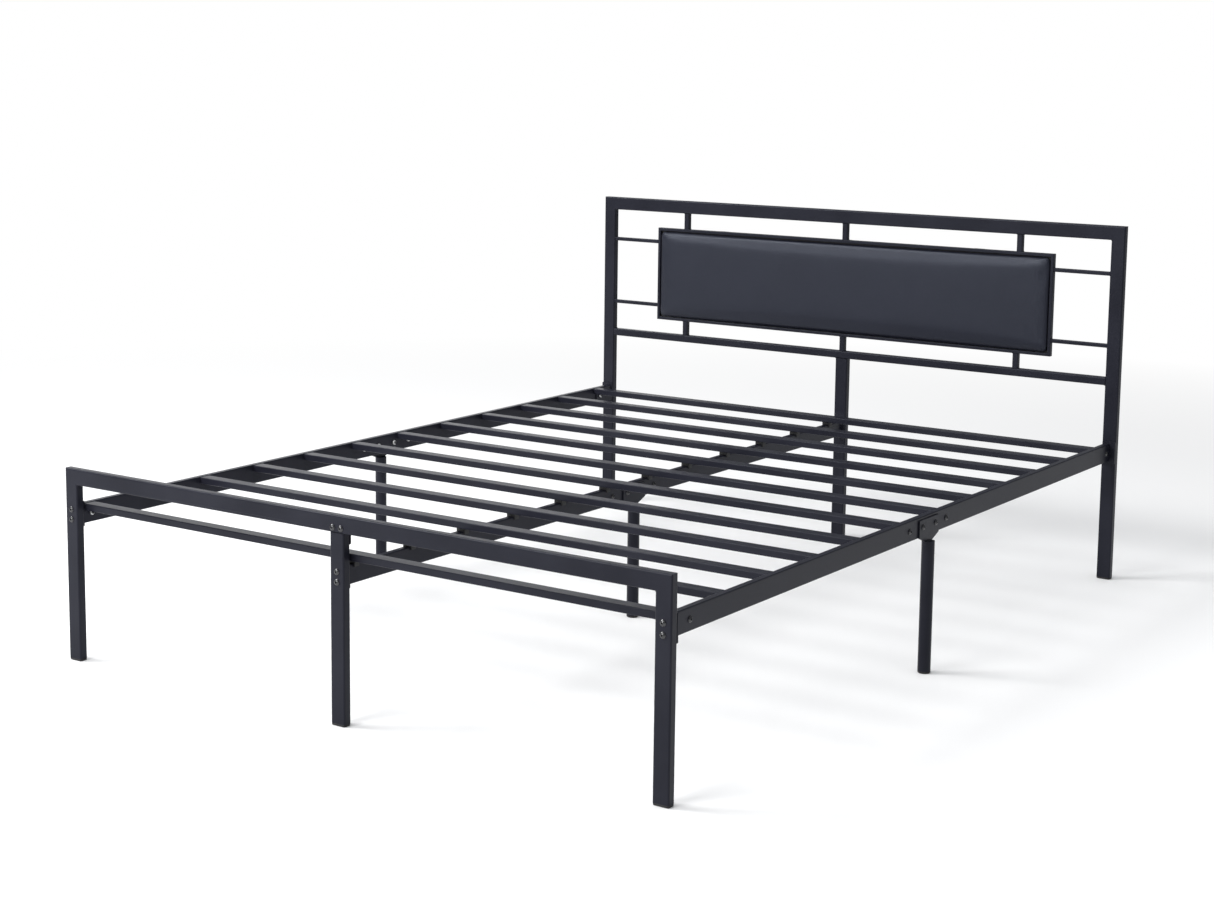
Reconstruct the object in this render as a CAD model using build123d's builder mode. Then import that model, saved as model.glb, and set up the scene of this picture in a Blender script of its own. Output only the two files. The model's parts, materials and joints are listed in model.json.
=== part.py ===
from build123d import *
import os

# Knock-down steel bed frame for a 1524 x 2032 mm mattress, with a padded headboard panel.
# Millimetres, +Z up, +X to the sleeper's right seen from the foot, +Y towards the headboard.
# The origin is on the floor, at the middle of the frame.

os.makedirs("parts", exist_ok=True)

# %% Driving dimensions

# End frames: both are bent from the same rectangular tube, cut to a mitre at the top corners.
frame_width = 1540
inner_length = 2044
headboard_height = 890
footboard_height = 425
post_width = 35
post_depth = 20
post_wall = 1.5
post_corner = 3.5

# Headboard infill
lower_rail_size = 20
lower_rail_bottom = 492
pad_frame_bottom = 551
pad_frame_width = 1176
pad_frame_height = 260
pad_frame_face = 8
pad_frame_depth = 15
spacer_size = 15
spacer_offset = 495
side_bar_size = 10
side_bar_offset = 90
board_thickness = 6
board_gap = 0.5
pad_gap = 3
pad_thickness = 15
pad_edge_radius = 9
tab_thickness = 2
tab_width = 30
tab_height = 26
tab_offset = 380

# Side rails and centre rail
rail_outer_face = 755
rail_width = 15
rail_height = 45
rail_top = 347
centre_rail_height = 40
centre_rail_top = 322
rail_wall = 1.5
rail_corner = 2.5
joiner_gap = 0.2
joiner_length = 210
joint_bolt_offset = 87
leg_bolt_offset = 30

# Slats
slat_count = 12
slat_width = 30
slat_thickness = 15
slat_wall = 1.2
slat_corner = 2
slat_top = 346
slat_end_gap = 1
first_slat_offset = 20
slat_pitch = 177
tongue_width = 24
tongue_length = 24
tongue_thickness = 2.5
saddle_lip = 3.5
saddle_grip = 6
saddle_length = 14
saddle_shift = 8

# Corner brackets
bracket_thickness = 3
bracket_height = 56
bracket_tongue_length = 80
bracket_tongue_height = 26
bracket_top_margin = 1
near_bolt_offset = 22
far_bolt_offset = 65
post_bolt_pitch = 22
centre_bolt_pitch = 21
end_plate_width = 30
end_plate_height = 50

# Footboard centre leg plate
leg_plate_bottom = 365
leg_plate_top = 412
leg_plate_bolt_height = 400
leg_plate_bolt_pitch = 21

# Round mid legs
mid_leg_diameter = 28
mid_leg_wall = 1.5
mid_plate_half_width = 46
mid_plate_foot_half_width = 16
mid_plate_drop = 12
mid_plate_top_margin = 7
mid_leg_cap = 2

# Plastic feet
post_foot_thickness = 5
post_foot_plug = 20
foot_clearance = 0.1
round_foot_thickness = 5
round_foot_plug = 20
round_foot_edge = 2

# Fasteners
bolt_diameter = 6
bolt_hole = 6.5
tapped_hole = 6.1
head_diameter = 13
head_height = 4
head_rim = 1
socket_width = 4
socket_depth = 2.5
tapped_bolt_length = 23
leg_bolt_length = 30
rail_bolt_length = 25
nut_width = 10
nut_height = 5
nut_clearance = 0.1
screw_diameter = 4
screw_head_diameter = 8
screw_head_height = 2
screw_length = 6

# %% Derived places

half_width = frame_width / 2
half_length = inner_length / 2
end_centre = half_length + post_depth / 2
end_outer = half_length + post_depth
post_centre = half_width - post_width / 2
post_inner = half_width - post_width
rail_centre = rail_outer_face - rail_width / 2
rail_inner_face = rail_outer_face - rail_width
rail_middle = rail_top - rail_height / 2
centre_rail_middle = centre_rail_top - centre_rail_height / 2
rail_end = half_length - bracket_thickness
top_rail_bottom = headboard_height - post_width
lower_rail_top = lower_rail_bottom + lower_rail_size
pad_frame_top = pad_frame_bottom + pad_frame_height
pad_frame_middle = pad_frame_bottom + pad_frame_height / 2
pad_frame_back = half_length + pad_frame_depth
pad_frame_centre = half_length + pad_frame_depth / 2
board_front = pad_frame_back - board_thickness
slat_bottom = slat_top - slat_thickness
slat_places = [slat_width / 2 - half_length + 5 + slat_pitch * i for i in range(slat_count)]
mid_leg_centre = rail_outer_face + bracket_thickness / 2
centre_leg_shift = rail_width / 2 + bracket_thickness / 2
end_signs = {"front": -1, "rear": 1}
side_signs = {"left": -1, "right": 1}


# %% Shared shapes

def tube_section(width, height, wall, corner):
    """Rounded rectangular tube section, drawn in the open sketch."""
    RectangleRounded(width, height, corner)
    RectangleRounded(width - 2 * wall, height - 2 * wall, corner - wall, mode=Mode.SUBTRACT)


def upright(x, y, bottom, top, width, depth, wall, corner):
    """Vertical rectangular tube, added to the open part."""
    with BuildSketch(Plane.XY.offset(bottom)) as section:
        with Locations((x, y)):
            tube_section(width, depth, wall, corner)
    extrude(section.sketch, amount=top - bottom)


def crossbar(start, end, y, z, height, depth, wall, corner):
    """Rectangular tube along X, added to the open part."""
    with BuildSketch(Plane(origin=(start, y, z), x_dir=(0, 1, 0), z_dir=(1, 0, 0))) as section:
        tube_section(depth, height, wall, corner)
    extrude(section.sketch, amount=end - start)


def lengthwise(x, start, end, z, width, height, wall, corner):
    """Rectangular tube along Y, added to the open part."""
    with BuildSketch(Plane(origin=(x, start, z), x_dir=(1, 0, 0), z_dir=(0, 1, 0))) as section:
        tube_section(width, height, wall, corner)
    extrude(section.sketch, amount=end - start)


def drill(points, direction, diameter):
    """Round holes right through the open part, along the direction."""
    with Locations(*[Plane(origin=point, z_dir=direction) for point in points]):
        Hole(diameter / 2)


def save(piece, label):
    """Name the finished piece and write its file."""
    piece.part.label = label
    export_step(piece.part, f"parts/{label}.step")
    print(f"{label}: {piece.part.volume:.0f} mm3")


def mitre(x_sign, height):
    """Plane of a top corner's mitre, from the outer corner down to the inner one."""
    return Plane(origin=(x_sign * half_width, 0, height), z_dir=(-x_sign, 0, 1))


def post_bolt_heights():
    """Heights of the two bolts that hold a side rail's bracket to a post."""
    return [rail_middle - post_bolt_pitch / 2, rail_middle + post_bolt_pitch / 2]


def centre_bolt_heights():
    """Heights of the two bolts that hold the centre rail to an end frame's leg."""
    return [centre_rail_middle - centre_bolt_pitch / 2, centre_rail_middle + centre_bolt_pitch / 2]


def rail_end_bolt(side, end):
    """Distance along Y of the bolt through a side rail's end.

    The two side rails are the same rail turned round, so the near bolt is at the left front
    and the right rear, and the far bolt at the other two corners.
    """
    offset = near_bolt_offset if side * end > 0 else far_bolt_offset
    return end * (half_length - offset)


# %% End frame posts

def end_post(label, side, end, height):
    """Corner post, mitred at the top, with the two bolt holes of its rail bracket."""
    with BuildPart() as post:
        upright(side * post_centre, end * end_centre, post_foot_thickness, height,
                post_width, post_depth, post_wall, post_corner)
        split(bisect_by=mitre(side, height), keep=Keep.BOTTOM)
        drill([(side * post_centre, end * (end_outer + 1), z) for z in post_bolt_heights()],
              (0, end, 0), bolt_hole)
    save(post, label)


for side_name, side in side_signs.items():
    end_post(f"headboard_{side_name}_post", side, 1, headboard_height)
    end_post(f"footboard_{side_name}_post", side, -1, footboard_height)


# %% Top rails, mitred at both ends

def top_rail(label, end, height, holes):
    """Top rail of an end frame."""
    with BuildPart() as rail:
        crossbar(-half_width, half_width, end * end_centre, height - post_width / 2,
                 post_width, post_depth, post_wall, post_corner)
        for side in side_signs.values():
            split(bisect_by=mitre(side, height), keep=Keep.TOP)
        if holes:
            drill(holes, (0, end, 0), bolt_hole)
    save(rail, label)


leg_plate_bolts = [(sign * leg_plate_bolt_pitch / 2, leg_plate_bolt_height) for sign in (-1, 1)]
top_rail("headboard_top_rail", 1, headboard_height, [])
top_rail("footboard_top_rail", -1, footboard_height,
         [(x, -end_outer - 1, z) for x, z in leg_plate_bolts])

# %% Headboard lower rail

with BuildPart() as lower_rail:
    crossbar(-post_inner, post_inner, end_centre, lower_rail_bottom + lower_rail_size / 2,
             lower_rail_size, post_depth, post_wall, post_corner)
save(lower_rail, "headboard_lower_rail")


# %% Centre legs of the end frames

def centre_leg(label, end, top):
    """Leg at the middle of an end frame, with the bolt holes of the centre rail."""
    with BuildPart() as leg:
        upright(0, end * end_centre, post_foot_thickness, top,
                post_width, post_depth, post_wall, post_corner)
        drill([(0, end * (end_outer + 1), z) for z in centre_bolt_heights()], (0, end, 0), bolt_hole)
    save(leg, label)


centre_leg("headboard_centre_leg", 1, lower_rail_bottom)
centre_leg("footboard_centre_leg", -1, footboard_height - post_width)

# The footboard's leg hangs from its top rail by a plate behind both.
with BuildPart() as leg_plate:
    with BuildSketch(Plane.XZ.offset(half_length - bracket_thickness)):
        with Locations((0, (leg_plate_bottom + leg_plate_top) / 2)):
            RectangleRounded(post_width, leg_plate_top - leg_plate_bottom, post_corner)
    extrude(amount=bracket_thickness)
    drill([(x, -end_outer - 1, z) for x, z in leg_plate_bolts], (0, -1, 0), bolt_hole)
save(leg_plate, "footboard_leg_plate")


# %% Headboard spacers and side bars

def spacers(label, bottom, top):
    """Three short uprights between the pad frame and a rail."""
    with BuildPart() as group:
        for x in (-spacer_offset, 0, spacer_offset):
            upright(x, pad_frame_centre, bottom, top, spacer_size, spacer_size, rail_wall, rail_corner)
    save(group, label)


spacers("headboard_upper_spacers", pad_frame_top, top_rail_bottom)
spacers("headboard_lower_spacers", lower_rail_top, pad_frame_bottom)

for side_name, side in side_signs.items():
    inner, outer = sorted((side * pad_frame_width / 2, side * post_inner))
    with BuildPart() as side_bars:
        for z in (pad_frame_middle - side_bar_offset, pad_frame_middle + side_bar_offset):
            crossbar(inner, outer, pad_frame_centre, z, side_bar_size, side_bar_size, 1, rail_corner)
    save(side_bars, f"headboard_{side_name}_bars")


# %% Pad frame, four mitred bars

def pad_frame_corner(x_sign, z_sign):
    """Plane of a pad frame corner's mitre, facing the frame's middle along Z."""
    corner_height = pad_frame_middle + z_sign * pad_frame_height / 2
    return Plane(origin=(x_sign * pad_frame_width / 2, 0, corner_height), z_dir=(-x_sign, 0, z_sign))


pad_bar_wall = 1
pad_bar_corner = 1.5
for name, z_sign in (("top", 1), ("bottom", -1)):
    with BuildPart() as bar:
        crossbar(-pad_frame_width / 2, pad_frame_width / 2, pad_frame_centre,
                 pad_frame_middle + z_sign * (pad_frame_height - pad_frame_face) / 2,
                 pad_frame_face, pad_frame_depth, pad_bar_wall, pad_bar_corner)
        for x_sign in (-1, 1):
            split(bisect_by=pad_frame_corner(x_sign, z_sign), keep=Keep.TOP)
    save(bar, f"pad_frame_{name}")
for name, x_sign in side_signs.items():
    with BuildPart() as bar:
        upright(x_sign * (pad_frame_width - pad_frame_face) / 2, pad_frame_centre,
                pad_frame_bottom, pad_frame_top,
                pad_frame_face, pad_frame_depth, pad_bar_wall, pad_bar_corner)
        for z_sign in (-1, 1):
            split(bisect_by=pad_frame_corner(x_sign, z_sign), keep=Keep.BOTTOM)
    save(bar, f"pad_frame_{name}")

# %% Backing board, its tabs and screws, and the pad

opening_width = pad_frame_width - 2 * pad_frame_face
opening_height = pad_frame_height - 2 * pad_frame_face
screw_inset = pad_frame_face + (tab_height - pad_frame_face) / 2
screw_places = [(x, pad_frame_middle + sign * (pad_frame_height / 2 - screw_inset))
                for x in (-tab_offset, 0, tab_offset) for sign in (-1, 1)]

with BuildPart() as board:
    with BuildSketch(Plane.XZ.offset(-pad_frame_back)):
        with Locations((0, pad_frame_middle)):
            Rectangle(opening_width - 2 * board_gap, opening_height - 2 * board_gap)
    extrude(amount=board_thickness)
    drill([(x, pad_frame_back + 1, z) for x, z in screw_places], (0, 1, 0), screw_diameter)
save(board, "headboard_board")

with BuildPart() as tabs:
    with BuildSketch(Plane.XZ.offset(-pad_frame_back - tab_thickness)):
        for x in (-tab_offset, 0, tab_offset):
            for sign in (-1, 1):
                with Locations((x, pad_frame_middle + sign * (pad_frame_height - tab_height) / 2)):
                    RectangleRounded(tab_width, tab_height, 2)
    extrude(amount=tab_thickness)
    drill([(x, pad_frame_back + tab_thickness + 1, z) for x, z in screw_places],
          (0, 1, 0), screw_diameter)
save(tabs, "pad_board_tabs")

with BuildPart() as screws:
    with BuildSketch(Plane.XZ.offset(-pad_frame_back - tab_thickness)):
        with Locations(*screw_places):
            Circle(screw_head_diameter / 2)
    extrude(amount=-screw_head_height)
    with BuildSketch(Plane.XZ.offset(-pad_frame_back - tab_thickness)):
        with Locations(*screw_places):
            Circle(screw_diameter / 2)
    extrude(amount=screw_length)
save(screws, "pad_board_screws")

with BuildPart() as pad:
    with BuildSketch(Plane.XZ.offset(-board_front)):
        with Locations((0, pad_frame_middle)):
            RectangleRounded(opening_width - 2 * pad_gap, opening_height - 2 * pad_gap, pad_edge_radius)
    extrude(amount=pad_thickness)
    fillet(pad.faces().sort_by(Axis.Y)[0].edges(), pad_edge_radius)
save(pad, "headboard_pad")


# %% Lengthwise rails, in two halves that meet at the middle

def rail_half(label, x, middle, height, end, last, holes):
    """Half of a rail, from the middle of the frame to its end, with its cross holes."""
    start, stop = sorted((0, end * last))
    with BuildPart() as rail:
        lengthwise(x, start, stop, middle, rail_width, height, rail_wall, rail_corner)
        drill([(x + rail_width, y, middle) for y in holes], (1, 0, 0), bolt_hole)
    save(rail, label)


def joiner(group_x, middle, height):
    """Tube that fits inside both halves of a rail, drilled for the four joint bolts."""
    inside_width = rail_width - 2 * rail_wall - 2 * joiner_gap
    inside_height = height - 2 * rail_wall - 2 * joiner_gap
    holes = (-joint_bolt_offset, -leg_bolt_offset, leg_bolt_offset, joint_bolt_offset)
    for x in group_x:
        lengthwise(x, -joiner_length / 2, joiner_length / 2, middle,
                   inside_width, inside_height, rail_wall, rail_corner - 0.5)
        drill([(x + inside_width, y, middle) for y in holes], (1, 0, 0), bolt_hole)


for end_name, end in end_signs.items():
    joint_holes = [end * leg_bolt_offset, end * joint_bolt_offset]
    for side_name, side in side_signs.items():
        rail_half(f"side_rail_{side_name}_{end_name}", side * rail_centre, rail_middle, rail_height,
                  end, rail_end, joint_holes + [rail_end_bolt(side, end)])
    rail_half(f"centre_rail_{end_name}", 0, centre_rail_middle, centre_rail_height,
              end, rail_end, joint_holes)

with BuildPart() as side_joiners:
    joiner((-rail_centre, rail_centre), rail_middle, rail_height)
save(side_joiners, "side_rail_joiners")

with BuildPart() as centre_joiner:
    joiner((0,), centre_rail_middle, centre_rail_height)
save(centre_joiner, "centre_rail_joiner")


# %% Corner brackets: a plate on the post and a tongue along the rail's inner face

def corner_bracket(label, side, end):
    """Bracket between a post and the end of a side rail."""
    tongue_top = slat_bottom - bracket_top_margin
    tongue_outer = side * (rail_inner_face - bracket_thickness / 2)
    plate_width = half_width - rail_inner_face + bracket_thickness
    with BuildPart() as bracket:
        with BuildSketch(Plane.XZ.offset(-end * half_length)):
            with Locations((side * (half_width - plate_width / 2), rail_middle)):
                RectangleRounded(plate_width, bracket_height, 2)
        extrude(amount=end * bracket_thickness)
        with BuildSketch(Plane.XY.offset(tongue_top - bracket_tongue_height)):
            with Locations((tongue_outer, end * (half_length - bracket_tongue_length / 2))):
                Rectangle(bracket_thickness, bracket_tongue_length)
        extrude(amount=bracket_tongue_height)
        drill([(side * post_centre, end * (end_outer + 1), z) for z in post_bolt_heights()],
              (0, end, 0), tapped_hole)
        drill([(side * (half_width + 1), rail_end_bolt(side, end), rail_middle)],
              (side, 0, 0), bolt_hole)
    save(bracket, label)


for side_name, side in side_signs.items():
    for end_name, end in end_signs.items():
        corner_bracket(f"corner_bracket_{side_name}_{end_name}", side, end)

# The centre rail has a flat plate welded to each end, with the nuts inside the tube.
for end_name, end in end_signs.items():
    with BuildPart() as end_plate:
        with BuildSketch(Plane.XZ.offset(-end * half_length)):
            with Locations((0, centre_rail_middle)):
                RectangleRounded(end_plate_width, end_plate_height, 2)
        extrude(amount=end * bracket_thickness)
        drill([(0, end * (end_outer + 1), z) for z in centre_bolt_heights()], (0, end, 0), bolt_hole)
    save(end_plate, f"centre_rail_{end_name}_plate")

# %% Slats, the tongues in their ends and the saddles under their middles

for number, y in enumerate(slat_places, start=1):
    slat_end = rail_inner_face - slat_end_gap
    with BuildPart() as slat:
        crossbar(-slat_end, slat_end, y, slat_top - slat_thickness / 2,
                 slat_thickness, slat_width, slat_wall, slat_corner)
    save(slat, f"slat_{number:02d}")

with BuildPart() as tongues:
    with BuildSketch(Plane.XY.offset(slat_top - slat_wall - tongue_thickness)):
        for side in side_signs.values():
            with Locations(*[(side * (rail_inner_face - tongue_length / 2), y) for y in slat_places]):
                Rectangle(tongue_length, tongue_width)
    extrude(amount=tongue_thickness)
save(tongues, "slat_tongues")

with BuildPart() as saddles:
    for y in slat_places:
        start = y + saddle_shift - saddle_length / 2
        with BuildSketch(Plane(origin=(0, start, 0), x_dir=(1, 0, 0), z_dir=(0, 1, 0))):
            with Locations((0, -(slat_bottom + centre_rail_top - saddle_grip) / 2)):
                Rectangle(rail_width + 2 * saddle_lip, slat_bottom - centre_rail_top + saddle_grip)
            with Locations((0, -centre_rail_top + saddle_grip / 2)):
                Rectangle(rail_width, saddle_grip, mode=Mode.SUBTRACT)
        extrude(amount=saddle_length)
save(saddles, "slat_saddles")


# %% Mid legs: a round tube closed at the top, under a flat plate that bolts to the rail's face

mid_leg_places = {
    "left": (-mid_leg_centre, rail_top - rail_height, rail_top),
    "centre": (centre_leg_shift, centre_rail_top - centre_rail_height, centre_rail_top),
    "right": (mid_leg_centre, rail_top - rail_height, rail_top),
}


def mid_leg(label, x, top):
    """Round leg, closed at the top."""
    with BuildPart() as leg:
        with BuildSketch(Plane.XY.offset(round_foot_thickness)):
            with Locations((x, 0)):
                Circle(mid_leg_diameter / 2)
                Circle(mid_leg_diameter / 2 - mid_leg_wall, mode=Mode.SUBTRACT)
        extrude(amount=top - round_foot_thickness)
        with BuildSketch(Plane.XY.offset(top)):
            with Locations((x, 0)):
                Circle(mid_leg_diameter / 2)
        extrude(amount=-mid_leg_cap)
    save(leg, label)


def mid_plate(x, rail_bottom, rail_upper):
    """Flat plate that narrows down to the top of its leg, added to the open part."""
    low = rail_bottom - mid_plate_drop
    high = rail_upper - mid_plate_top_margin
    outline = [
        (-mid_plate_half_width, high), (-mid_plate_half_width, rail_bottom),
        (-mid_plate_foot_half_width, low), (mid_plate_foot_half_width, low),
        (mid_plate_half_width, rail_bottom), (mid_plate_half_width, high),
    ]
    with BuildSketch(Plane.YZ.offset(x - bracket_thickness / 2)) as face:
        with BuildLine():
            Polyline(*outline, close=True)
        make_face()
    extrude(face.sketch, amount=bracket_thickness)
    middle = (rail_bottom + rail_upper) / 2
    drill([(x + bracket_thickness, y, middle) for y in (-leg_bolt_offset, leg_bolt_offset)],
          (1, 0, 0), bolt_hole)


for name, (x, rail_bottom, rail_upper) in mid_leg_places.items():
    mid_leg(f"mid_leg_{name}", x, rail_bottom - mid_plate_drop)

with BuildPart() as mid_plates:
    for x, rail_bottom, rail_upper in mid_leg_places.values():
        mid_plate(x, rail_bottom, rail_upper)
save(mid_plates, "mid_leg_plates")

# %% Plastic feet

foot_places = [(x, end * end_centre) for x in (-post_centre, 0, post_centre)
               for end in end_signs.values()]
plug_width = post_width - 2 * post_wall - 2 * foot_clearance
plug_depth = post_depth - 2 * post_wall - 2 * foot_clearance
with BuildPart() as post_feet:
    with BuildSketch(Plane.XY):
        with Locations(*foot_places):
            RectangleRounded(post_width, post_depth, post_corner)
    extrude(amount=post_foot_thickness)
    with BuildSketch(Plane.XY.offset(post_foot_thickness)):
        with Locations(*foot_places):
            tube_section(plug_width, plug_depth, post_wall, post_corner - post_wall - foot_clearance)
    extrude(amount=post_foot_plug)
save(post_feet, "post_feet")

with BuildPart() as round_feet:
    leg_points = [(x, 0) for x, _, _ in mid_leg_places.values()]
    with BuildSketch(Plane.XY):
        with Locations(*leg_points):
            Circle(mid_leg_diameter / 2)
    extrude(amount=round_foot_thickness)
    with BuildSketch(Plane.XY.offset(round_foot_thickness)):
        with Locations(*leg_points):
            Circle(mid_leg_diameter / 2 - mid_leg_wall - foot_clearance)
    extrude(amount=round_foot_plug)
    fillet(round_feet.edges().filter_by(GeomType.CIRCLE).group_by(Axis.Z)[0], round_foot_edge)
save(round_feet, "round_feet")


# %% Fasteners

def bolt(length):
    """Domed bolt with a hexagon socket; its seat is at the origin and the head is above it."""
    with BuildPart() as blank:
        with BuildSketch(Plane.XZ):
            with BuildLine():
                outline = Polyline((0, -length), (bolt_diameter / 2, -length), (bolt_diameter / 2, 0),
                                   (head_diameter / 2, 0), (head_diameter / 2, head_rim))
                dome = ThreePointArc(outline @ 1, (head_diameter * 0.3, head_height - 0.8), (0, head_height))
                Line(dome @ 1, outline @ 0)
            make_face()
        revolve(axis=Axis.Z)
        with BuildSketch(Plane.XY.offset(head_height - socket_depth)):
            RegularPolygon(socket_width / 2, 6, major_radius=False)
        extrude(amount=socket_depth + 1, mode=Mode.SUBTRACT)
    return blank.part


def nut():
    """Hexagon nut that stands on the origin."""
    with BuildPart() as blank:
        with BuildSketch():
            RegularPolygon(nut_width / 2, 6, major_radius=False)
            Circle(bolt_diameter / 2 + nut_clearance / 2, mode=Mode.SUBTRACT)
        extrude(amount=nut_height)
    return blank.part


def scatter(label, shape, seats):
    """One node that holds a copy of the shape on every seat plane."""
    with BuildPart() as group:
        with Locations(*seats):
            add(shape)
    save(group, label)


# Bolts through the end frames: their heads are on the outside. Those of the posts screw into the
# tapped corner brackets, those of the centre legs have nuts.
post_seats = [Plane(origin=(side * post_centre, end * end_outer, z), z_dir=(0, end, 0))
              for side in side_signs.values() for end in end_signs.values()
              for z in post_bolt_heights()]
leg_seats = [Plane(origin=(0, end * end_outer, z), z_dir=(0, end, 0))
             for end in end_signs.values() for z in centre_bolt_heights()]
leg_seats += [Plane(origin=(x, -end_outer, z), z_dir=(0, -1, 0)) for x, z in leg_plate_bolts]
leg_nuts = [Plane(origin=(seat.origin.X, seat.z_dir.Y * rail_end, seat.origin.Z),
                  x_dir=(0, 0, 1), z_dir=-seat.z_dir) for seat in leg_seats]

# Bolts through the rails: their heads are on the outer face, or on the right of the centre rail.
rail_seats = []
rail_nuts = []
for side in side_signs.values():
    out = (side, 0, 0)
    for y in (-joint_bolt_offset, -leg_bolt_offset, leg_bolt_offset, joint_bolt_offset):
        plate = bracket_thickness if abs(y) == leg_bolt_offset else 0
        rail_seats.append(Plane(origin=(side * (rail_outer_face + plate), y, rail_middle), z_dir=out))
        rail_nuts.append(Plane(origin=(side * rail_inner_face, y, rail_middle), z_dir=(-side, 0, 0)))
    for end in end_signs.values():
        y = rail_end_bolt(side, end)
        rail_seats.append(Plane(origin=(side * rail_outer_face, y, rail_middle), z_dir=out))
        rail_nuts.append(Plane(origin=(side * (rail_inner_face - bracket_thickness), y, rail_middle),
                               z_dir=(-side, 0, 0)))
for y in (-joint_bolt_offset, -leg_bolt_offset, leg_bolt_offset, joint_bolt_offset):
    plate = bracket_thickness if abs(y) == leg_bolt_offset else 0
    rail_seats.append(Plane(origin=(rail_width / 2 + plate, y, centre_rail_middle), z_dir=(1, 0, 0)))
    rail_nuts.append(Plane(origin=(-rail_width / 2, y, centre_rail_middle), z_dir=(-1, 0, 0)))

scatter("post_bolts", bolt(tapped_bolt_length), post_seats)
scatter("leg_bolts", bolt(leg_bolt_length), leg_seats)
scatter("rail_bolts", bolt(rail_bolt_length), rail_seats)
scatter("nuts", nut(), leg_nuts + rail_nuts)
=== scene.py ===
# %% [markdown]
# # A knock-down steel bed frame
#
# This lesson dresses a bed frame of welded and bolted steel tube. The tubes, brackets and bolts come
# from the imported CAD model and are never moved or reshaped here. What CAD shows too plainly gets its
# own pieces: the padded headboard panel, the moulded feet, the zinc nuts with their threaded bolt ends
# and the weld beads. Every surface then gets a finish made of shader nodes.

import json
import math

import bmesh
import bpy
from mathutils import Matrix, Vector


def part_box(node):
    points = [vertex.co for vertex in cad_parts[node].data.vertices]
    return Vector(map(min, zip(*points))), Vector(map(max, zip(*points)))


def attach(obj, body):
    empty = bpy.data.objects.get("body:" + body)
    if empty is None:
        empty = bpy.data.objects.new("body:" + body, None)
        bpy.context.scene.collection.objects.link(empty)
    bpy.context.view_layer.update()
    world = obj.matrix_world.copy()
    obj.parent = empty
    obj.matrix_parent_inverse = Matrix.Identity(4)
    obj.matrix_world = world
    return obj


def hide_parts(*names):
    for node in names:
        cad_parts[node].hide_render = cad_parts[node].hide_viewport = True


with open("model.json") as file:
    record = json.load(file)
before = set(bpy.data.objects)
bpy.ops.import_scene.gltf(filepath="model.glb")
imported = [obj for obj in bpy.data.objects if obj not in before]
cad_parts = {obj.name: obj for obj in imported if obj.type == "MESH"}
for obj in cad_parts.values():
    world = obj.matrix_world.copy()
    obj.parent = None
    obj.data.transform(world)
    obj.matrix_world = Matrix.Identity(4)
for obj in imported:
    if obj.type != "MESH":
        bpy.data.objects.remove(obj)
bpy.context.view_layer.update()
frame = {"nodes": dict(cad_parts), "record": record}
nodes = frame["nodes"]

# %% [markdown]
# ## The camera
#
# The bed is seen from in front of its right corner, from a little under standing height, with a long
# lens, so the lines of the rails hardly converge. A camera looks along its own -Z axis. Its three axes
# are worked out from how far it is turned, tipped and rolled, and become the columns of its matrix.

# %% Place the camera
camera_turn = 0.63586
camera_tip = 0.14794
camera_roll = 0.00506
camera_place = Vector((2.745, -4.1959, 1.3562))

forward = Vector((-math.sin(camera_turn) * math.cos(camera_tip),
                  math.cos(camera_turn) * math.cos(camera_tip),
                  -math.sin(camera_tip)))
level_right = Vector((math.cos(camera_turn), math.sin(camera_turn), 0))
level_up = level_right.cross(forward)
camera_right = level_right * math.cos(camera_roll) + level_up * math.sin(camera_roll)
camera_up = level_up * math.cos(camera_roll) - level_right * math.sin(camera_roll)

camera_data = bpy.data.cameras.new("camera")
camera_data.sensor_width = 36
camera_data.lens = 65.02
camera_data.shift_x = 0.08
camera_data.shift_y = -0.08
camera_data.clip_end = 200
camera = bpy.data.objects.new("camera", camera_data)
bpy.context.collection.objects.link(camera)
camera_axes = Matrix((camera_right, camera_up, -forward)).transposed()
camera.matrix_world = Matrix.Translation(camera_place) @ camera_axes.to_4x4()
bpy.context.scene.camera = camera
print("camera looks along", tuple(round(v, 3) for v in forward))

# %% [markdown]
# ## Writing shaders as expressions
#
# A finish is a small calculation: a grain here, a worn patch there, added, multiplied and mixed. Drawn as
# nodes it sprawls, so it is written as Python. A Wire stands for one output socket, and each + - * /
# on it adds a Math node. A Finish is one material, and its node method adds every other kind of node.


# %% The Wire and Finish helpers
class Wire:
    """An output socket that can be used in arithmetic."""

    def __init__(self, finish, socket):
        self.finish = finish
        self.socket = socket

    def math(self, operation, first, second):
        return self.finish.node("ShaderNodeMath", {"operation": operation}, {0: first, 1: second})

    def __add__(self, other):
        return self.math("ADD", self, other)

    def __radd__(self, other):
        return self.math("ADD", other, self)

    def __sub__(self, other):
        return self.math("SUBTRACT", self, other)

    def __rsub__(self, other):
        return self.math("SUBTRACT", other, self)

    def __mul__(self, other):
        return self.math("MULTIPLY", self, other)

    def __rmul__(self, other):
        return self.math("MULTIPLY", other, self)

    def __truediv__(self, other):
        return self.math("DIVIDE", self, other)


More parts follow.
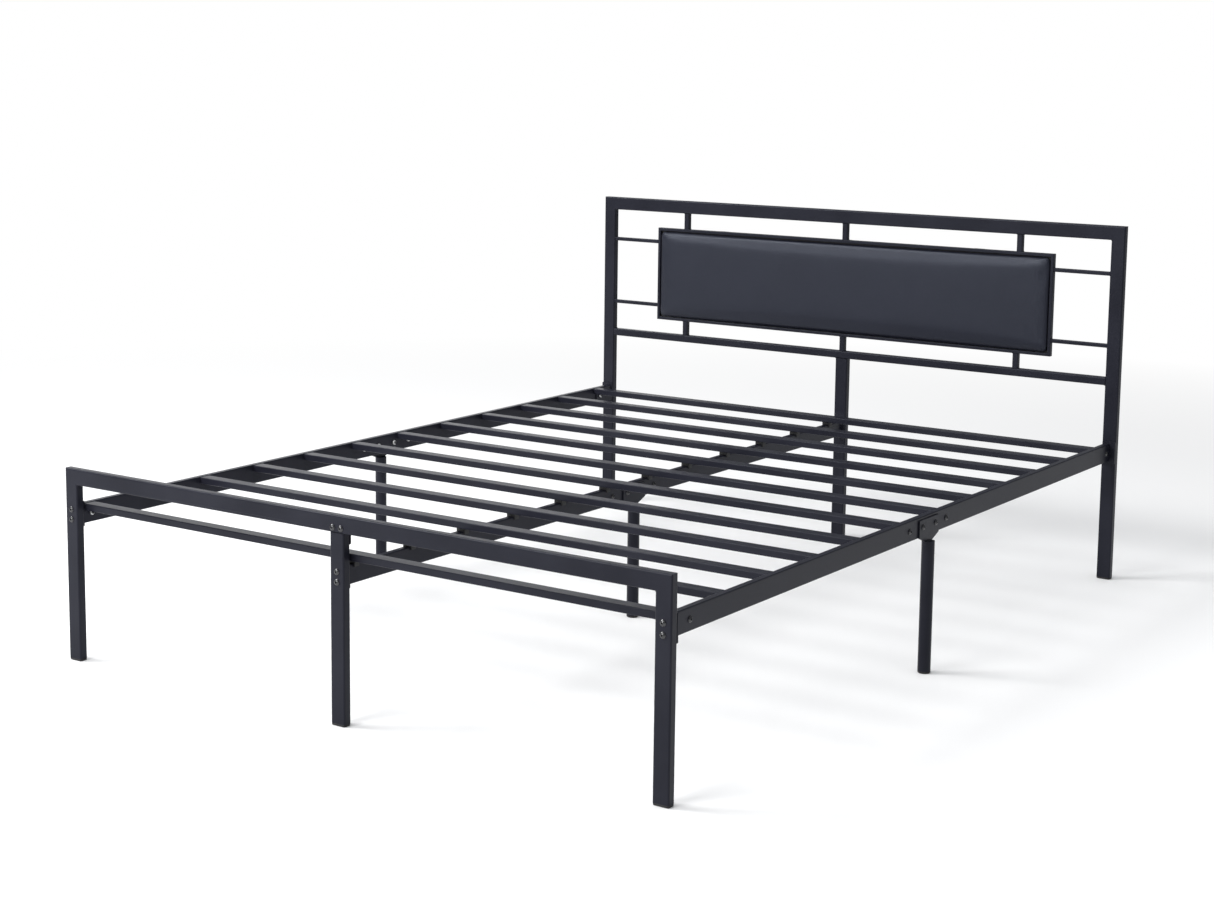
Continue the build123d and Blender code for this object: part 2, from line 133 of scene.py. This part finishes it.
class Finish:
    """One material, with a Principled shader and helpers that add nodes before it."""

    def __init__(self, name, **constants):
        self.material = bpy.data.materials.new(name)
        self.material.use_nodes = True
        self.tree = self.material.node_tree
        self.shader = self.tree.nodes["Principled BSDF"]
        for socket, value in constants.items():
            self.shader.inputs[socket.replace("_", " ")].default_value = value

    def node(self, kind, settings, inputs, output=0):
        """Adds one node: its settings first, then the values or wires of its sockets."""
        added = self.tree.nodes.new(kind)
        for name, value in settings.items():
            if name == "stops":
                while len(added.color_ramp.elements) < len(value):
                    added.color_ramp.elements.new(1.0)
                for element, (position, tone) in zip(added.color_ramp.elements, value):
                    element.position = position
                    element.color = (tone, tone, tone, 1)
            else:
                setattr(added, name, value)
        for socket, value in inputs.items():
            self.join(value, added.inputs[socket])
        return Wire(self, added.outputs[output])

    def join(self, value, socket):
        """Plugs a wire into a socket, or sets the socket to a plain value."""
        if isinstance(value, Wire):
            self.tree.links.new(value.socket, socket)
        else:
            socket.default_value = value

    def place(self):
        return self.node("ShaderNodeTexCoord", {}, {}, "Object")

    def stretched(self, scale):
        """Object coordinates stretched by a different amount along each axis."""
        return self.node("ShaderNodeMapping", {}, {"Vector": self.place(), "Scale": scale})

    def noise(self, scale, detail=2.0, roughness=0.5, place=None):
        """Cloudy grain; scale counts its lumps per metre."""
        return self.node("ShaderNodeTexNoise", {}, {
            "Vector": place or self.place(), "Scale": scale, "Detail": detail, "Roughness": roughness})

    def cells(self, scale, feature="F1", place=None):
        """Distance to the middle or the edge of the nearest cell, for leather and pebbled moulding."""
        return self.node("ShaderNodeTexVoronoi", {"feature": feature}, {
            "Vector": place or self.place(), "Scale": scale}, "Distance")

    def ramp(self, value, *stops):
        return self.node("ShaderNodeValToRGB", {"stops": stops}, {0: value})

    def mix(self, factor, first, second):
        """Blend of two colours."""
        return self.node("ShaderNodeMix", {"data_type": "RGBA"}, {0: factor, 6: first, 7: second}, 2)

    def paint(self, **wires):
        """Joins what varies over the surface to the shader."""
        for socket, wire in wires.items():
            self.join(wire, self.shader.inputs[socket.replace("_", " ")])

    def bump(self, height, strength, distance):
        """Raises and sinks the surface's normal by a height wire."""
        return self.node("ShaderNodeBump", {}, {
            "Height": height, "Strength": strength, "Distance": distance})


print("shader helpers ready")

# %% [markdown]
# ## Powder coat
#
# The tubes are sprayed with dry powder that melts in an oven into a thick satin skin. It never lies
# quite flat: it has a fine orange peel about a millimetre across, and the sheen drifts a little along
# the tube where the skin is thicker. The colour is a charcoal with a breath of blue. Two noises make
# the peel and the drift, and a much finer one gives the tiny pale specks of the pigment.

# %% Powder coat
powder_dark = (0.0105, 0.0108, 0.0165, 1)
powder_light = (0.0205, 0.0212, 0.0315, 1)

powder_coat = Finish("powder_coat", Specular_IOR_Level=0.14, Specular_Tint=(0.86, 0.90, 1.0, 1),
                     Coat_Roughness=0.22)
drift = powder_coat.ramp(powder_coat.noise(7.0, 3.0), (0.3, 0.0), (0.7, 1.0))
speck = powder_coat.ramp(powder_coat.noise(2600.0, 1.0), (0.62, 0.0), (0.74, 1.0))
peel = powder_coat.noise(750.0, 2.0, 0.45)
powder_colour = powder_coat.mix(drift * 0.45 + speck * 0.35, powder_dark, powder_light)
powder_coat.paint(
    Base_Color=powder_colour,
    Roughness=0.33 + drift * 0.07 + speck * 0.06,
    Coat_Weight=0.02 + drift * 0.05,
    Normal=powder_coat.bump(peel, 0.22, 0.0006),
)
print("powder coat nodes:", len(powder_coat.tree.nodes))

# %% [markdown]
# ## Vinyl
#
# The headboard panel is covered with soft coated cloth, embossed with a leather grain: small rounded
# pebbles parted by fine creases. Cells make the pebbles, warped a little by noise so that they are not
# too even. Their creases are painted darker and their tops lighter: painted shade in the creases and
# painted light on the tops. A slow second noise lets the sheen vary as a hand or a cloth leaves it, and
# pales the colour a little there.

# %% Vinyl
# Painted shade and light: the darker tone is painted into the creases of the grain, the paler one onto the
# pebble tops and the handled patches.
vinyl_crease_shade = (0.0045, 0.0050, 0.0105, 1)
vinyl_lit_and_handled = (0.0095, 0.0104, 0.0200, 1)

vinyl = Finish("pad_vinyl", Specular_IOR_Level=0.42, Specular_Tint=(0.80, 0.86, 1.0, 1),
               Sheen_Weight=0.05, Sheen_Roughness=0.4)
warp = vinyl.node("ShaderNodeVectorMath", {"operation": "MULTIPLY_ADD"}, {
    0: vinyl.node("ShaderNodeTexNoise", {}, {"Vector": vinyl.place(), "Scale": 160.0}, "Color"),
    1: (0.004, 0.004, 0.004), 2: vinyl.place()})
pebble = vinyl.ramp(vinyl.cells(520.0, "DISTANCE_TO_EDGE", warp), (0.0, 0.0), (0.22, 1.0))
pore = vinyl.noise(1900.0, 2.0)
hand = vinyl.ramp(vinyl.noise(5.0, 3.0), (0.35, 0.0), (0.7, 1.0))
# The colour mix paints shade into the creases of the grain and light onto the pebble tops, and pales the
# handled patches.
vinyl.paint(
    Base_Color=vinyl.mix(pebble * 0.7 + hand * 0.25, vinyl_crease_shade, vinyl_lit_and_handled),
    Roughness=0.40 - pebble * 0.08 + hand * 0.05,
    Normal=vinyl.bump(pebble * 0.8 + pore * 0.3, 0.35, 0.0005),
)
print("vinyl nodes:", len(vinyl.tree.nodes))

# %% [markdown]
# ## Moulded plastic, board and fasteners
#
# The feet and the saddles under the slats are black polypropylene from a mould with an etched, pebbled
# skin, scuffed paler in places. The panel's backing is fibreboard painted black, and its fibres still
# show as short streaks. The bolts are blackened steel, slightly oily, and the nuts are bright zinc with
# the faint crystals and brushing that plating leaves.

# %% Plastic
plastic = Finish("black_plastic", Specular_IOR_Level=0.45)
etched = plastic.cells(1100.0)
scuff = plastic.ramp(plastic.noise(60.0, 5.0, 0.7), (0.52, 0.0), (0.7, 1.0))
# Part of the colour mix is painted shade: the pits of the etched skin are painted a little darker than
# their rims. The paler scuffs are real wear.
plastic.paint(
    Base_Color=plastic.mix(scuff * 0.5 + etched * 0.2, (0.008, 0.008, 0.009, 1), (0.026, 0.026, 0.028, 1)),
    Roughness=0.5 + scuff * 0.12 + etched * 0.08,
    Normal=plastic.bump(etched, 0.3, 0.0004),
)
print("plastic nodes:", len(plastic.tree.nodes))

# %% Board
board = Finish("board", Specular_IOR_Level=0.35)
fibre = board.noise(240.0, 4.0, 0.6, board.stretched((0.25, 1.0, 3.0)))
blotch = board.noise(9.0, 3.0)
board.paint(
    Base_Color=board.mix(fibre * 0.7 + blotch * 0.3, (0.010, 0.010, 0.010, 1), (0.034, 0.033, 0.032, 1)),
    Roughness=0.62 + fibre * 0.15,
    Normal=board.bump(fibre, 0.4, 0.0005),
)
print("board nodes:", len(board.tree.nodes))

# %% Blackened bolts
black_steel = Finish("black_bolt", Specular_IOR_Level=0.9)
oil = black_steel.noise(180.0, 3.0)
black_steel.paint(
    Base_Color=black_steel.mix(oil, (0.009, 0.009, 0.011, 1), (0.030, 0.030, 0.034, 1)),
    Metallic=0.15 + oil * 0.2,
    Roughness=0.20 + oil * 0.14,
    Normal=black_steel.bump(black_steel.noise(2200.0), 0.12, 0.0003),
)
print("bolt nodes:", len(black_steel.tree.nodes))

# %% Zinc
zinc = Finish("zinc", Metallic=1.0)
crystal = zinc.cells(900.0)
tarnish = zinc.ramp(zinc.noise(260.0, 4.0), (0.4, 0.0), (0.75, 1.0))
zinc.paint(
    Base_Color=zinc.mix(tarnish * 0.6 + crystal * 0.3, (0.72, 0.73, 0.74, 1), (0.46, 0.46, 0.44, 1)),
    Roughness=0.22 + tarnish * 0.14 + crystal * 0.08,
    Normal=zinc.bump(crystal, 0.1, 0.0002),
)
print("zinc nodes:", len(zinc.tree.nodes))

# %% [markdown]
# ## Dressing the CAD nodes
#
# Each CAD node already carries the name of its finish from the record. Handing it the material made
# here is all that it needs, so the loop only swaps what sits in its material slots.

# %% Hand out the finishes
finishes = {"powder_coat": powder_coat, "pad_vinyl": vinyl, "board": board,
            "black_plastic": plastic, "black_bolt": black_steel, "zinc": zinc}
slot_of = {row["node"]: row["material_slot"] for row in frame["record"]["subparts"]}
for name, node in nodes.items():
    finish = finishes[slot_of[name]]
    if not node.material_slots:
        node.data.materials.append(finish.material)
    for slot in node.material_slots:
        slot.material = finish.material
print("dressed", len(nodes), "nodes with", len(finishes), "finishes")

# %% [markdown]
# ## Turning small parts
#
# Feet, threads and weld beads are all round and short. A turner starts with a disc and works along it,
# so the helper does the same: it adds a filled circle and pulls its face upwards again and again,
# widening or narrowing it at each step. The first face stays behind as the bottom, so the piece is closed.


# %% The turning and stacking helpers
def tidy_selection():
    """Nothing selected, and no object in edit mode."""
    if bpy.context.object and bpy.context.object.mode != "OBJECT":
        bpy.ops.object.mode_set(mode="OBJECT")
    bpy.ops.object.select_all(action="DESELECT")


def choose(piece):
    """Selects one piece alone and makes it active."""
    tidy_selection()
    piece.select_set(True)
    bpy.context.view_layer.objects.active = piece


def press_in(piece, modifier):
    """Makes a modifier's result permanent."""
    choose(piece)
    bpy.ops.object.modifier_apply(modifier=modifier.name)


def pull_up(profile, width, depth, height):
    """Extrudes the selected face through (width, depth, height) steps, in millimetres."""
    for next_width, next_depth, next_height in profile:
        lift = (next_height - height) / 1000
        bpy.ops.mesh.extrude_region_move(TRANSFORM_OT_translate={"value": (0, 0, lift)})
        grow = (next_width / width, next_depth / depth, 1)
        bpy.ops.transform.resize(value=grow, center_override=(0, 0, next_height / 1000))
        width, depth, height = next_width, next_depth, next_height


def close_up(name, finish, smooth_angle):
    """Leaves edit mode with the normals outwards, named, dressed and smoothed."""
    bpy.ops.mesh.select_all(action="SELECT")
    bpy.ops.mesh.normals_make_consistent(inside=False)
    bpy.ops.object.mode_set(mode="OBJECT")
    piece = bpy.context.object
    piece.name = name
    piece.data.name = name
    bpy.ops.object.shade_smooth_by_angle(angle=math.radians(smooth_angle))
    piece.data.materials.append(finish.material)
    return piece


def turned(name, profile, sides, finish, smooth_angle=40):
    """Round piece along Z through (radius, height) steps, in millimetres."""
    tidy_selection()
    radius, height = profile[0]
    bpy.ops.mesh.primitive_circle_add(vertices=sides, radius=radius / 1000, fill_type="NGON",
                                      location=(0, 0, height / 1000))
    bpy.ops.object.transform_apply(location=True)
    bpy.ops.object.mode_set(mode="EDIT")
    bpy.ops.mesh.select_all(action="SELECT")
    pull_up([(r, r, h) for r, h in profile[1:]], radius, radius, height)
    return close_up(name, finish, smooth_angle)


def stacked(name, profile, corner, finish, smooth_angle=40):
    """Rectangular piece with rounded corners along Z through (width, depth, height) steps."""
    tidy_selection()
    width, depth, height = profile[0]
    bpy.ops.mesh.primitive_plane_add(size=1, location=(0, 0, height / 1000))
    bpy.ops.object.transform_apply(location=True)
    bpy.ops.object.mode_set(mode="EDIT")
    bpy.ops.mesh.select_all(action="SELECT")
    bpy.ops.transform.resize(value=(width / 1000, depth / 1000, 1), center_override=(0, 0, 0))
    bpy.ops.mesh.bevel(offset=corner / 1000, segments=4, affect="VERTICES")
    bpy.ops.mesh.select_all(action="SELECT")
    pull_up(profile[1:], width, depth, height)
    return close_up(name, finish, smooth_angle)


def scattered(name, pattern, places):
    """Joins copies of a pattern piece, one for each 4 x 4 place matrix, and removes the pattern."""
    joined = bmesh.new()
    for place in places:
        copy = pattern.data.copy()
        copy.transform(place)
        joined.from_mesh(copy)
        bpy.data.meshes.remove(copy)
    mesh = pattern.data.copy()
    mesh.name = name
    joined.to_mesh(mesh)
    joined.free()
    piece = bpy.data.objects.new(name, mesh)
    bpy.context.collection.objects.link(piece)
    bpy.data.objects.remove(pattern)
    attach(piece, "root")
    print(f"{name}: {len(places)} copies, {len(mesh.polygons)} faces")
    return piece


print("turning helpers ready")

# %% [markdown]
# ## Feet of the posts
#
# A push-in glide closes each rectangular leg. Its foot is as wide as the tube, with a small radius where
# it meets the floor and a fine groove under the tube's end, and its plug disappears inside the tube. The
# shape is a rounded rectangle pulled up in steps.

# %% Post feet
post_foot = stacked("post_foot", [
    (31.0, 16.0, 0.0), (33.4, 18.4, 0.5), (34.6, 19.6, 1.6), (34.9, 19.9, 2.6), (34.9, 19.9, 4.2),
    (34.3, 19.3, 4.5), (34.0, 19.0, 5.0), (31.8, 16.8, 5.05), (31.6, 16.6, 20.0), (29.0, 14.0, 24.0),
], 3.4, plastic)
half_post_width = 0.0175
half_post_depth = 0.010
low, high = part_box("post_feet")
leg_x = (low.x + half_post_width, 0.0, high.x - half_post_width)
leg_y = (low.y + half_post_depth, high.y - half_post_depth)
post_feet = scattered("moulded_post_feet", post_foot,
                      [Matrix.Translation((x, y, 0)) for x in leg_x for y in leg_y])
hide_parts("post_feet")

# %% [markdown]
# ## Feet of the round legs
#
# The three legs at mid length end in round glides of the tube's own width: a rounded bottom, a fine groove
# under the tube's end, and a ribbed plug that grips inside the tube. One closed profile makes all of it.

# %% Round feet
round_foot = turned("round_foot", [
    (11.0, 0.0), (12.6, 0.4), (13.5, 1.2), (13.9, 2.3), (13.95, 4.2), (13.5, 4.5), (13.3, 5.0),
    (12.3, 5.05), (12.3, 8.0), (11.9, 8.6), (12.3, 9.2), (12.3, 13.0), (11.9, 13.6), (12.3, 14.2),
    (12.3, 22.0), (11.0, 25.0),
], 48, plastic)
mid_legs = ("mid_leg_left", "mid_leg_centre", "mid_leg_right")
foot_places = []
for leg in mid_legs:
    low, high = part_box(leg)
    foot_places.append(Matrix.Translation(((low.x + high.x) / 2, (low.y + high.y) / 2, 0)))
round_feet = scattered("moulded_round_feet", round_foot, foot_places)
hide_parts("round_feet")

# %% [markdown]
# ## Zinc nuts and bolt ends
#
# A hexagon nut is sawn from hexagon bar and then chamfered on a lathe, which leaves the curved edges on
# its corners. Blender does the same with a Boolean: a six-sided prism is intersected with a round blank
# whose rims are bevelled. The bolt's end stands out of it. At this size a thread is a row of ridges, so
# it is turned as one, with a chamfered tip.


# %% One nut
def boolean_with(piece, tool, operation):
    """Cuts or intersects a piece with a tool piece, which is then removed."""
    cut = piece.modifiers.new("cut", "BOOLEAN")
    cut.operation = operation
    cut.object = tool
    cut.solver = "EXACT"
    press_in(piece, cut)
    bpy.data.objects.remove(tool)


across_flats = 10
nut_corner = across_flats / math.sqrt(3)
nut = turned("nut", [(nut_corner, 0.0), (nut_corner, 5.0)], 6, zinc, 20)
blank = turned("blank", [(4.9, -0.02), (5.9, 0.65), (5.9, 4.35), (4.9, 5.02)], 48, zinc)
boolean_with(nut, blank, "INTERSECT")
boolean_with(nut, turned("bore", [(3.25, -1.0), (3.25, 6.0)], 32, zinc), "DIFFERENCE")

thread = [(3.04, -0.5)]
for ridge in range(6):
    thread += [(3.04, 0.35 + ridge), (2.62, 0.75 + ridge), (3.04, 1.15 + ridge)]
bolt_end = turned("bolt_end", thread + [(3.0, 6.4), (2.5, 7.0)], 24, zinc)
print("nut faces:", len(nut.data.polygons), "bolt end faces:", len(bolt_end.data.polygons))

# %% [markdown]
# ## Where the nuts sit
#
# All the nuts share one CAD node, so its mesh is parted into islands of joined corners, one for each nut.
# A nut is 5 mm thick, and that thin side shows which way its bolt runs. The free face of every nut looks
# inwards, away from the rail or the leg that it clamps: the nuts of the side rails look at each other,
# those of the centre rail all look left, and those of the two end frames look at the mattress.


# %% Find the nuts
def islands(mesh):
    """Lowest and highest corners of each separate solid in a mesh."""
    whole = bmesh.new()
    whole.from_mesh(mesh)
    bmesh.ops.remove_doubles(whole, verts=whole.verts, dist=1e-5)
    waiting = set(whole.verts)
    boxes = []
    while waiting:
        island = [waiting.pop()]
        for vertex in island:
            for edge in vertex.link_edges:
                neighbour = edge.other_vert(vertex)
                if neighbour in waiting:
                    waiting.remove(neighbour)
                    island.append(neighbour)
        low = Vector(min(v.co[i] for v in island) for i in range(3))
        high = Vector(max(v.co[i] for v in island) for i in range(3))
        boxes.append((low, high))
    whole.free()
    return sorted(boxes, key=lambda box: tuple(box[0]))


nut_thickness = 0.005
left_of_centre = -0.1


def nut_place(low, high):
    """Place of a nut that stands on its rail or leg, with its bolt pointing inwards."""
    base = (low + high) / 2
    size = high - low
    axis = min(range(3), key=lambda i: abs(size[i] - nut_thickness))
    if axis == 0:
        inwards = 1 if base.x < left_of_centre else -1
    else:
        inwards = 1 if base.y < 0 else -1
    direction = Vector((0, 0, 0))
    direction[axis] = inwards
    base[axis] -= inwards * nut_thickness / 2
    return Matrix.Translation(base) @ direction.to_track_quat("Z", "Y").to_matrix().to_4x4()


nut_places = [nut_place(low, high) for low, high in islands(nodes["nuts"].data)]
print("nuts found:", len(nut_places))

# %% Set the nuts and their bolt ends
zinc_nuts = scattered("zinc_nuts", nut, nut_places)
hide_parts("nuts")
bolt_ends = scattered("zinc_bolt_ends", bolt_end, nut_places)

# %% [markdown]
# ## Weld beads
#
# The end frames are welded from straight tubes, and a welder leaves a bead wherever two of them meet
# square: a row of small overlapping ripples in the corner, later buried under the powder. Each bead is
# turned as a thin rod whose radius swells and shrinks, then laid in its corner, half sunk in both tubes.

# %% Beads
bead_radius = 1.7
neck_radius = 0.82 * bead_radius
shoulder_radius = 0.8 * bead_radius
tip_radius = 0.5
tip_length = 0.5
ripple_pitch = 2.2


def bead(length):
    """Rippled rod along Z, in millimetres, with rounded ends."""
    steps = [(tip_radius, -length / 2), (shoulder_radius, -length / 2 + tip_length)]
    ripples = max(3, round(length / ripple_pitch))
    pitch = length / ripples
    for i in range(ripples):
        middle = -length / 2 + pitch * (i + 0.5)
        steps += [(bead_radius, middle), (neck_radius, middle + 0.42 * pitch)]
    steps[-1] = (shoulder_radius, length / 2 - tip_length)
    steps.append((tip_radius, length / 2))
    return turned("bead", steps, 10, powder_coat, 60)


def laid(direction, *point):
    """Place of a bead along an axis at a point in metres."""
    turn = Vector(direction).to_track_quat("Z", "Y").to_matrix().to_4x4()
    return Matrix.Translation(Vector(point)) @ turn


# %% Beads between the posts and the rails
rail_low, rail_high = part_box("headboard_lower_rail")
top_low, top_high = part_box("headboard_top_rail")
foot_low, foot_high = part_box("footboard_top_rail")
post_inner = rail_high.x
head_y = (top_low.y + top_high.y) / 2
foot_y = (foot_low.y + foot_high.y) / 2
along_y = (0, 1, 0)
along_z = (0, 0, 1)

deep_beads = []
for side in (-1, 1):
    for height in (rail_low.z, rail_high.z, top_low.z):
        deep_beads.append(laid(along_y, side * post_inner, head_y, height))
    deep_beads.append(laid(along_y, side * post_inner, foot_y, foot_low.z))
    deep_beads.append(laid(along_y, side * half_post_width, head_y, rail_low.z))
deep_welds = scattered("weld_beads_deep", bead(17.0), deep_beads)

# %% Beads of the spacers and side bars
half_spacer = 0.0075
bar_height = 0.010

spacer_beads = []
for name in ("headboard_upper_spacers", "headboard_lower_spacers"):
    low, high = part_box(name)
    reach = high.x - half_spacer
    for x in (-reach, 0.0, reach):
        for side in (-half_spacer, half_spacer):
            for height in (low.z, high.z):
                spacer_beads.append(laid(along_y, x + side, (low.y + high.y) / 2, height))
spacer_welds = scattered("weld_beads_spacers", bead(12.0), spacer_beads)

bar_beads = []
for name in ("headboard_left_bars", "headboard_right_bars"):
    low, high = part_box(name)
    middle_y = (low.y + high.y) / 2
    for x in (low.x, high.x):
        for bottom in (low.z, high.z - bar_height):
            bar_beads.append(laid(along_y, x, middle_y, bottom))
            bar_beads.append(laid(along_y, x, middle_y, bottom + bar_height))
            bar_beads.append(laid(along_z, x, low.y, bottom + bar_height / 2))
            bar_beads.append(laid(along_z, x, high.y, bottom + bar_height / 2))
bar_welds = scattered("weld_beads_bars", bead(8.0), bar_beads)

# %% Beads between the mid legs and their plates
plate_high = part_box("mid_leg_plates")[1]
low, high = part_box("mid_leg_right")
half_plate = plate_high.x - (low.x + high.x) / 2
leg_beads = []
for leg in mid_legs:
    low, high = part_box(leg)
    for side in (-half_plate, half_plate):
        leg_beads.append(laid(along_y, (low.x + high.x) / 2 + side, 0, high.z))
leg_welds = scattered("weld_beads_legs", bead(25.0), leg_beads)
print("half of a plate:", round(half_plate * 1000, 2), "mm")

# %% [markdown]
# ## The padded panel
#
# Foam is glued to a board and vinyl is pulled over it, so the panel is flat behind and almost flat in
# front, with an edge that rolls over in about a finger's thickness. It is shaped as an upholsterer would
# see it: a slab with rounded edges is remeshed into even squares, its back is pinned to the board, and air
# pressure swells the rest as cloth. The swell is capped, because the foam is no deeper than that, then the
# front is relaxed and one subdivision smooths it.

# %% A slab for the pad
pad_low, pad_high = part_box("headboard_pad")
pad_size = pad_high - pad_low
pad_middle = (pad_low + pad_high) / 2
slab_depth = 0.0135
vinyl_reach = 0.002
corner_radius = 0.014
front_radius = 0.008

tidy_selection()
bpy.ops.mesh.primitive_cube_add(size=1, location=(pad_middle.x, pad_high.y - slab_depth / 2, pad_middle.z))
pad = bpy.context.object
pad.name = "padded_panel"
pad.scale = (pad_size.x + 2 * vinyl_reach, slab_depth, pad_size.z + 2 * vinyl_reach)
bpy.ops.object.transform_apply(location=True, scale=True)
bpy.ops.object.mode_set(mode="EDIT")
bpy.ops.mesh.select_mode(type="EDGE")
slab_front = pad_high.y - slab_depth


def round_slab_edges(chosen, offset):
    """Bevels the slab's edges for which chosen(first end, second end) is true."""
    bpy.ops.mesh.select_all(action="DESELECT")
    slab = bmesh.from_edit_mesh(pad.data)
    for edge in slab.edges:
        edge.select_set(chosen(edge.verts[0].co, edge.verts[1].co))
    bmesh.update_edit_mesh(pad.data)
    bpy.ops.mesh.bevel(offset=offset, segments=5, affect="EDGES")


round_slab_edges(lambda a, b: abs(a.y - b.y) > slab_depth / 2, corner_radius)
round_slab_edges(lambda a, b: max(a.y, b.y) < slab_front + 0.0001, front_radius)
bpy.ops.object.mode_set(mode="OBJECT")

even = pad.modifiers.new("even squares", "REMESH")
even.mode = "VOXEL"
even.voxel_size = 0.005
press_in(pad, even)
print("pad slab faces:", len(pad.data.polygons))

# %% Swell the pad as cloth
pad_back = pad_high.y
back_group = pad.vertex_groups.new(name="glued to the board")
glued = [v.index for v in pad.data.vertices if v.co.y > pad_back - 0.0015]
back_group.add(glued, 1.0, "REPLACE")
before = [v.co.copy() for v in pad.data.vertices]
most_swell = 0.004
last_frame = 20

cloth = pad.modifiers.new("foam pressure", "CLOTH")
cloth.settings.vertex_group_mass = back_group.name
cloth.settings.effector_weights.gravity = 0
cloth.settings.use_pressure = True
cloth.settings.uniform_pressure_force = 3.0
cloth.settings.tension_stiffness = 12
cloth.settings.compression_stiffness = 12
cloth.settings.bending_stiffness = 20
cloth.settings.quality = 6
cloth.point_cache.frame_start = 1
cloth.point_cache.frame_end = last_frame
for number in range(1, last_frame + 1):
    bpy.context.scene.frame_set(number)
press_in(pad, cloth)
bpy.context.scene.frame_set(1)

# %% Cap and relax the swell
swells = []
for vertex, start in zip(pad.data.vertices, before):
    move = vertex.co - start
    swells.append(move.length)
    if move.length > most_swell:
        vertex.co = start + move.normalized() * most_swell
    vertex.co.x = max(pad_low.x - vinyl_reach, min(pad_high.x + vinyl_reach, vertex.co.x))
    vertex.co.z = max(pad_low.z - vinyl_reach, min(pad_high.z + vinyl_reach, vertex.co.z))

relax = pad.modifiers.new("relaxed creases", "SMOOTH")
relax.factor = 0.6
relax.iterations = 16
relax.use_x = False
relax.use_z = False
press_in(pad, relax)
print("pad moved by up to", round(max(swells) * 1000, 2), "mm")

# %% Finish the pad
pad.vertex_groups.clear()
smoother = pad.modifiers.new("one subdivision", "SUBSURF")
smoother.levels = 1
smoother.render_levels = 1
press_in(pad, smoother)
bpy.ops.object.shade_smooth()
pad.data.materials.clear()
pad.data.materials.append(vinyl.material)
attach(pad, "root")
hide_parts("headboard_pad")
print("pad faces:", len(pad.data.polygons),
      "depth:", round((pad_back - min(v.co.y for v in pad.data.vertices)) * 1000, 1), "mm")

# %% [markdown]
# ## Floor
#
# The bed stands on a plain pale floor in a white studio. A few metres away the floor fades into white
# glow, so it has no horizon. That glow is for the camera only: the steel reflects the plain floor.

# %% Floor
tidy_selection()
bpy.ops.mesh.primitive_plane_add(size=80, location=(0, 0, 0))
floor = bpy.context.object
floor.name = "floor"
floor_paint = Finish("floor_paint", Base_Color=(0.9, 0.9, 0.9, 1), Roughness=0.8, Specular_IOR_Level=0.15)
from_middle = floor_paint.node("ShaderNodeVectorMath", {"operation": "LENGTH"},
                               {0: floor_paint.place()}, "Value")
fade = floor_paint.ramp(from_middle / 8.0, (0.2, 0.0), (0.6, 1.0))
glow = floor_paint.node("ShaderNodeEmission", {}, {"Color": (1, 1, 1, 1), "Strength": 1.0})
blend = floor_paint.tree.nodes.new("ShaderNodeMixShader")
camera_sees = floor_paint.node("ShaderNodeLightPath", {}, {}, "Is Camera Ray")
floor_paint.join(fade * camera_sees, blend.inputs[0])
floor_paint.tree.links.new(floor_paint.shader.outputs[0], blend.inputs[1])
floor_paint.join(glow, blend.inputs[2])
floor_paint.tree.links.new(blend.outputs[0], floor_paint.tree.nodes["Material Output"].inputs["Surface"])
floor.data.materials.append(floor_paint.material)
print("floor ready")

# %% [markdown]
# ## Lights
#
# The key light is small enough to draw the slats' shadows as faint bands on the floor, to the right of
# the bed. The front and top lights fill in. One long light low on the far left is caught by the tops of
# the slats and rails at a glancing angle, which draws them as thin bright lines. The room itself gives a
# little cool light from all sides, and shows the camera a white backdrop.


# %% Set up the lights
def soft_light(name, place, aim, width, height, power):
    """Rectangular studio light at a place, facing a point."""
    data = bpy.data.lights.new(name, "AREA")
    data.shape = "RECTANGLE"
    data.size = width
    data.size_y = height
    data.energy = power
    light = bpy.data.objects.new(name, data)
    bpy.context.collection.objects.link(light)
    light.location = place
    light.rotation_mode = "QUATERNION"
    light.rotation_quaternion = (Vector(aim) - Vector(place)).to_track_quat("-Z", "Y")
    print(name, "at", place, power, "W")


soft_light("key light", (-3.4, -2.4, 4.4), (0, -0.1, 0.2), 2.1, 2.1, 240)
soft_light("front light", (-1.0, -5.6, 2.8), (0, -0.6, 0.3), 2.8, 1.8, 195)
soft_light("top light", (0.2, 0.2, 5.2), (0, 0, 0), 5.0, 5.0, 165)
soft_light("far left light", (-4.8, 3.6, 1.5), (0, 0, 0.3), 5.0, 1.4, 34)

world = bpy.data.worlds.new("studio")
world.use_nodes = True
world_tree = world.node_tree
room = world_tree.nodes["Background"]
room.inputs["Color"].default_value = (0.93, 0.96, 1.0, 1)
room.inputs["Strength"].default_value = 0.30
backdrop = world_tree.nodes.new("ShaderNodeBackground")
backdrop.inputs["Color"].default_value = (1, 1, 1, 1)
ray = world_tree.nodes.new("ShaderNodeLightPath")
room_or_backdrop = world_tree.nodes.new("ShaderNodeMixShader")
world_tree.links.new(ray.outputs["Is Camera Ray"], room_or_backdrop.inputs[0])
world_tree.links.new(room.outputs[0], room_or_backdrop.inputs[1])
world_tree.links.new(backdrop.outputs[0], room_or_backdrop.inputs[2])
world_tree.links.new(room_or_backdrop.outputs[0], world_tree.nodes["World Output"].inputs["Surface"])
bpy.context.scene.world = world
bpy.context.scene.view_settings.view_transform = "Standard"
